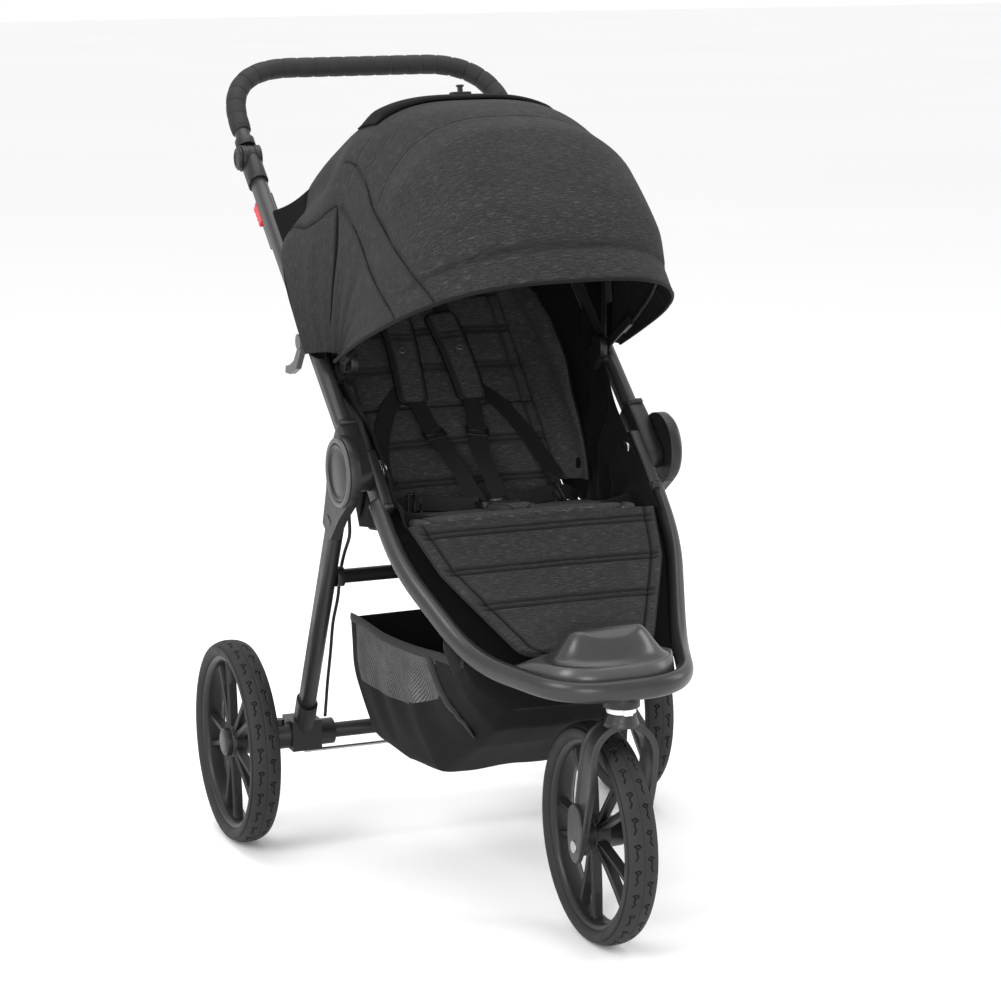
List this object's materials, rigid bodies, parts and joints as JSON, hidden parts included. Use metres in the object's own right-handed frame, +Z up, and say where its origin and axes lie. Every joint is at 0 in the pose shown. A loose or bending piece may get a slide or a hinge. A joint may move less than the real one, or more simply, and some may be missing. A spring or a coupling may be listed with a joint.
{
  "type": "baby stroller",
  "caption": "Three-wheeled folding baby stroller with a swivelling front wheel, a reclining padded seat, a folding canopy, a tilting handlebar and a cloth basket.",
  "frame": {"origin": "on the floor, at the middle of the object's length and width", "axes": "+Z up, the front wheel towards -Y, X across the rear axle"},
  "size_m": [0.653, 1.065, 1.1022],
  "materials": {
    "frame_tube": "satin",
    "casting": "matte",
    "fastener": "brushed",
    "grip": "matte",
    "grey_plastic": "satin",
    "cloth": "melange weave",
    "lining": "matte",
    "webbing": "woven",
    "basket_cloth": "mesh and plain",
    "red_plastic": "satin",
    "pale_plastic": "satin",
    "tyre": "matte",
    "rim": "satin",
    "cable": "matte"
  },
  "bodies": {
    "upper_frame": {"upper_tube_left": "frame_tube", "upper_tube_right": "frame_tube", "upper_castings": "casting", "hub_bolts": "fastener", "handle_sockets": "casting", "fold_lock_bar": "grey_plastic", "canopy_mounts": "casting", "canopy_rear": "cloth", "seat_side_left": "lining", "seat_side_right": "lining"},
    "rear_frame": {"rear_leg_left": "frame_tube", "rear_leg_right": "frame_tube", "hub_discs": "casting", "axle_brackets": "casting", "rear_axle": "fastener", "brake_rod": "fastener", "mid_crossbar": "casting", "brake_cables": "cable", "basket": "basket_cloth"},
    "front_frame": {"front_loop": "frame_tube", "loop_castings": "casting", "footplate": "grey_plastic", "caster_housing": "casting", "seat_cushion": "cloth", "waist_straps": "webbing", "crotch_pad": "cloth", "buckle": "casting", "pull_strap": "webbing"},
    "calf_rest": {"calf_panel": "cloth"},
    "handlebar": {"handle_tube": "frame_tube", "handle_grip": "grip", "handle_joints": "casting"},
    "canopy_middle_part": {"canopy_bow_middle": "casting", "canopy_middle": "cloth"},
    "canopy_front_part": {"canopy_bow_front": "casting", "canopy_front": "cloth"},
    "backrest_part": {"backrest": "cloth", "lower_back": "cloth", "shoulder_pads": "lining"},
    "swivel_ring": {"swivel_lock": "pale_plastic"},
    "caster": {"fork": "casting", "swivel_stem": "fastener", "suspension_bolt": "fastener"},
    "suspension": {"suspension_arms": "casting", "front_axle": "fastener"},
    "front_wheel": {"front_tyre": "tyre", "front_rim": "rim"},
    "rear_wheel_left": {"rear_tyre_left": "tyre", "rear_rim_left": "rim"},
    "rear_wheel_right": {"rear_tyre_right": "tyre", "rear_rim_right": "rim"},
    "hand_lever": {"brake_lever": "grey_plastic"},
    "lock_slide": {"fold_latch": "red_plastic"},
    "harness_button": {"buckle_button": "grey_plastic"},
    "wheel_button_left": {"wheel_release_left": "grey_plastic"},
    "wheel_button_right": {"wheel_release_right": "grey_plastic"}
  },
  "joints": [
    {"name": "rear_frame_fold", "type": "hinge", "parent": "upper_frame", "child": "rear_frame", "pos_m": [0, -0.07157, 0.584], "axis": [1, 0, 0], "range_deg": [0, 66], "deforming": ["basket", "seat_side_left", "seat_side_right", "lower_back"]},
    {"name": "front_frame_fold", "type": "hinge", "parent": "upper_frame", "child": "front_frame", "pos_m": [0, -0.07157, 0.584], "axis": [1, 0, 0], "range_deg": [0, 116.2]},
    {"name": "handlebar_tilt", "type": "hinge", "parent": "upper_frame", "child": "handlebar", "pos_m": [0, 0.39218, 0.96628], "axis": [1, 0, 0], "range_deg": [-50, 40]},
    {"name": "canopy_middle_fold", "type": "hinge", "parent": "upper_frame", "child": "canopy_middle_part", "pos_m": [0, 0.03343, 0.715], "axis": [1, 0, 0], "range_deg": [-38, 0], "deforming": ["canopy_rear", "canopy_middle"]},
    {"name": "canopy_front_fold", "type": "hinge", "parent": "canopy_middle_part", "child": "canopy_front_part", "pos_m": [0, 0.03343, 0.715], "axis": [1, 0, 0], "range_deg": [-48, 0], "deforming": ["canopy_front"]},
    {"name": "backrest_recline", "type": "hinge", "parent": "upper_frame", "child": "backrest_part", "pos_m": [0, 0.04343, 0.495], "axis": [1, 0, 0], "range_deg": [-28, 0]},
    {"name": "calf_raise", "type": "hinge", "parent": "front_frame", "child": "calf_rest", "pos_m": [0, -0.15157, 0.526], "axis": [1, 0, 0], "range_deg": [-40, 0]},
    {"name": "swivel_lock_turn", "type": "hinge", "parent": "front_frame", "child": "swivel_ring", "pos_m": [0, -0.45657, 0.326], "axis": [0, 0, 1], "range_deg": [0, 60]},
    {"name": "caster_swivel", "type": "hinge", "parent": "front_frame", "child": "caster", "pos_m": [0, -0.45657, 0.3], "axis": [0, 0, 1], "continuous": true},
    {"name": "suspension_travel", "type": "hinge", "parent": "caster", "child": "suspension", "pos_m": [0, -0.42057, 0.143], "axis": [1, 0, 0], "range_deg": [-3, 14], "stiffness_Nm_per_rad": 60, "springref_deg": -1.15},
    {"name": "front_wheel_spin", "type": "hinge", "parent": "suspension", "child": "front_wheel", "pos_m": [0, -0.38657, 0.146], "axis": [1, 0, 0], "continuous": true},
    {"name": "rear_wheel_left_spin", "type": "hinge", "parent": "rear_frame", "child": "rear_wheel_left", "pos_m": [-0.304, 0.21343, 0.146], "axis": [1, 0, 0], "continuous": true},
    {"name": "rear_wheel_right_spin", "type": "hinge", "parent": "rear_frame", "child": "rear_wheel_right", "pos_m": [0.304, 0.21343, 0.146], "axis": [1, 0, 0], "continuous": true},
    {"name": "brake_lever_pull", "type": "hinge", "parent": "upper_frame", "child": "hand_lever", "pos_m": [0, 0.11208, 0.73539], "axis": [1, 0, 0], "range_deg": [0, 24]},
    {"name": "fold_latch_slide", "type": "slide", "parent": "upper_frame", "child": "lock_slide", "axis": [0, 0.7716, 0.6361], "range_m": [0, 0.012]},
    {"name": "buckle_button_press", "type": "slide", "parent": "front_frame", "child": "harness_button", "axis": [0, -0.157, -0.9876], "range_m": [0, 0.003], "stiffness_N_per_m": 600},
    {"name": "wheel_release_left_press", "type": "slide", "parent": "rear_frame", "child": "wheel_button_left", "axis": [0, 0, -1], "range_m": [0, 0.004], "stiffness_N_per_m": 600},
    {"name": "wheel_release_right_press", "type": "slide", "parent": "rear_frame", "child": "wheel_button_right", "axis": [0, 0, -1], "range_m": [0, 0.004], "stiffness_N_per_m": 600}
  ],
  "couplings": [
    {"joint": "front_frame_fold", "follows": "rear_frame_fold", "ratio": 1.76}
  ]
}
